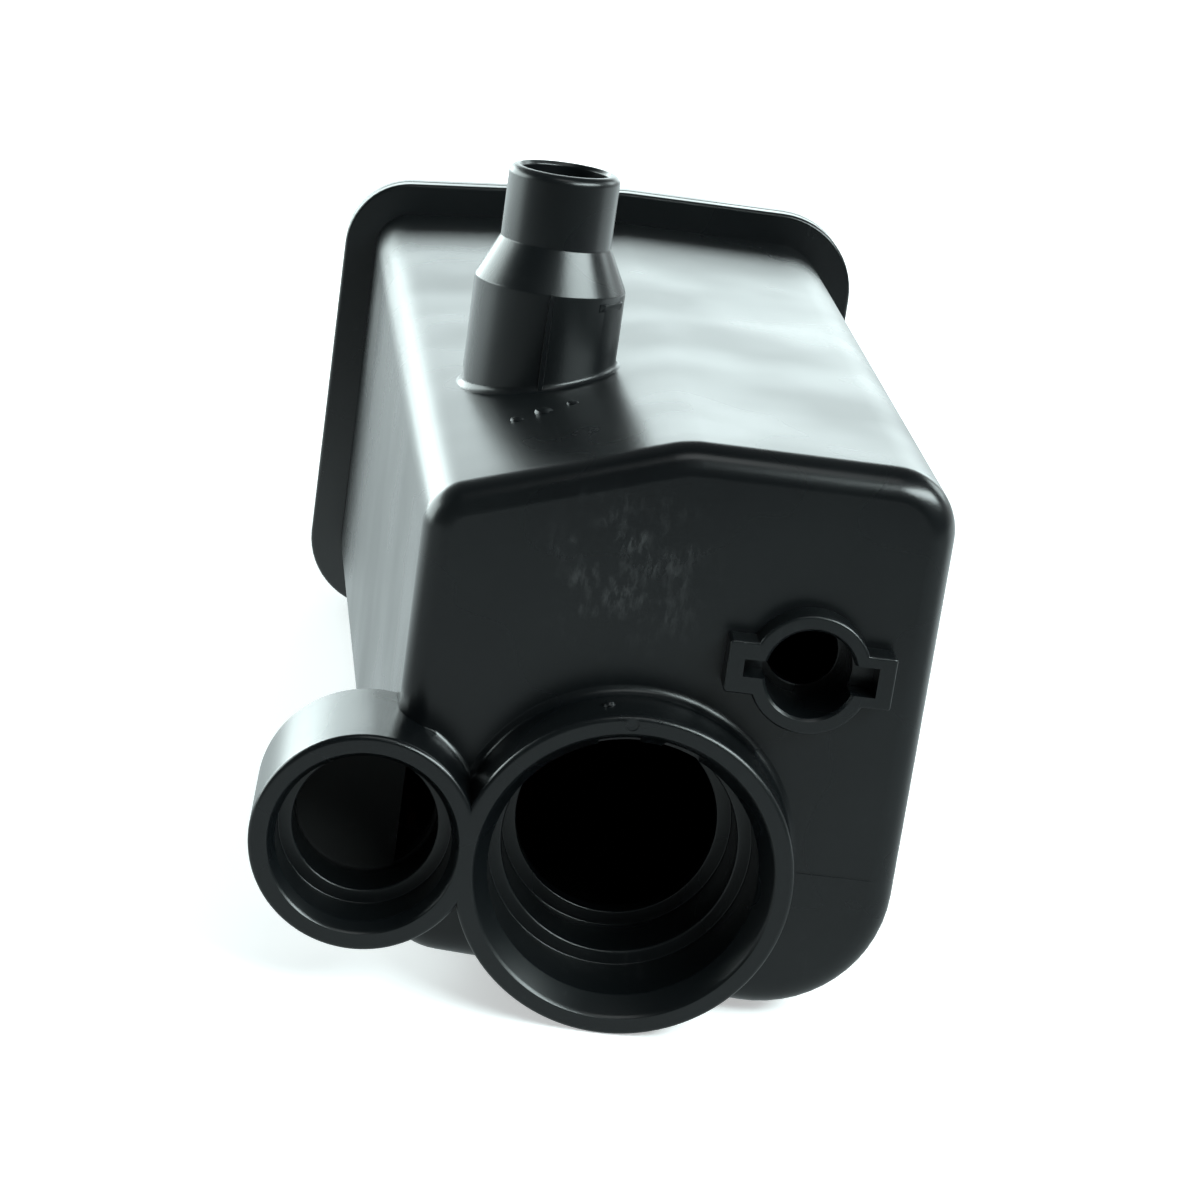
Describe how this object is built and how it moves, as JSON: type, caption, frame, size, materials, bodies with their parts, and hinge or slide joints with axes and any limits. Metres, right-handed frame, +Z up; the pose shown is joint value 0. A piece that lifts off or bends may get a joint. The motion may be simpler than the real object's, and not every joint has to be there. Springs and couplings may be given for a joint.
{
  "type": "coolant expansion tank",
  "caption": "Black moulded coolant expansion tank of two welded shells, with two hose sockets, a sensor boss, a hose neck and a screw cap.",
  "frame": {"origin": "on the large socket's axis, where its sealing bore begins, 4 mm behind the rim", "axes": "+Y along the socket's axis into the tank and towards the filler cap, +Z up as the tank lies on its side, +X to the right"},
  "size_m": [0.1171, 0.3286, 0.1305],
  "materials": {
    "shell": "black glass-filled nylon, satin",
    "cap": "black, fine texture",
    "valve_plastic": "dark grey, satin",
    "seal": "smooth black rubber",
    "natural_plastic": "undyed, satin",
    "float_plastic": "red, satin",
    "spring_wire": "drawn wire",
    "valve_metal": "turned"
  },
  "bodies": {
    "tank": {"lower_shell": "shell", "upper_shell": "shell", "float_guide": "natural_plastic"},
    "float": {"level_float": "float_plastic", "float_rod": "float_plastic"},
    "housing": {"valve_housing": "valve_plastic", "valve_cover": "valve_plastic", "housing_ring": "seal", "rim_seal": "seal", "pressure_spring": "spring_wire"},
    "cap": {"cap_shell": "cap"},
    "pressure_valve": {"pressure_plate": "valve_metal", "pressure_disc": "seal", "vacuum_spring": "spring_wire"},
    "vacuum_valve": {"vacuum_valve": "valve_metal"},
    "bleed_seal": {"bleed_ring": "seal"},
    "bleed_screw": {"bleed_screw": "cap"}
  },
  "joints": [
    {"name": "float_slide", "type": "slide", "parent": "tank", "child": "float", "axis": [0, 1, 0], "range_m": [0, 0.022]},
    {"name": "cap_lift", "type": "slide", "parent": "tank", "child": "housing", "axis": [0, 1, 0], "range_m": [0, 0.009]},
    {"name": "cap_turn", "type": "hinge", "parent": "housing", "child": "cap", "pos_m": [-0.00797, 0.306, 0.022], "axis": [0, 1, 0], "range_deg": [0, 540]},
    {"name": "pressure_lift", "type": "slide", "parent": "housing", "child": "pressure_valve", "axis": [0, 1, 0], "range_m": [0, 0.0015], "deforming": ["pressure_spring"]},
    {"name": "vacuum_open", "type": "slide", "parent": "pressure_valve", "child": "vacuum_valve", "axis": [0, -1, 0], "range_m": [0, 0.0008], "deforming": ["vacuum_spring"]},
    {"name": "bleed_lift", "type": "slide", "parent": "tank", "child": "bleed_seal", "axis": [0, 1, 0], "range_m": [0, 0.003]},
    {"name": "bleed_turn", "type": "hinge", "parent": "bleed_seal", "child": "bleed_screw", "pos_m": [0.03102, 0.302, 0.041], "axis": [0, 1, 0], "range_deg": [0, 720]}
  ],
  "couplings": [
    {"joint": "cap_lift", "follows": "cap_turn", "m_per_rad": 0.00095493},
    {"joint": "bleed_turn", "follows": "bleed_lift", "rad_per_m": 4188.8}
  ]
}
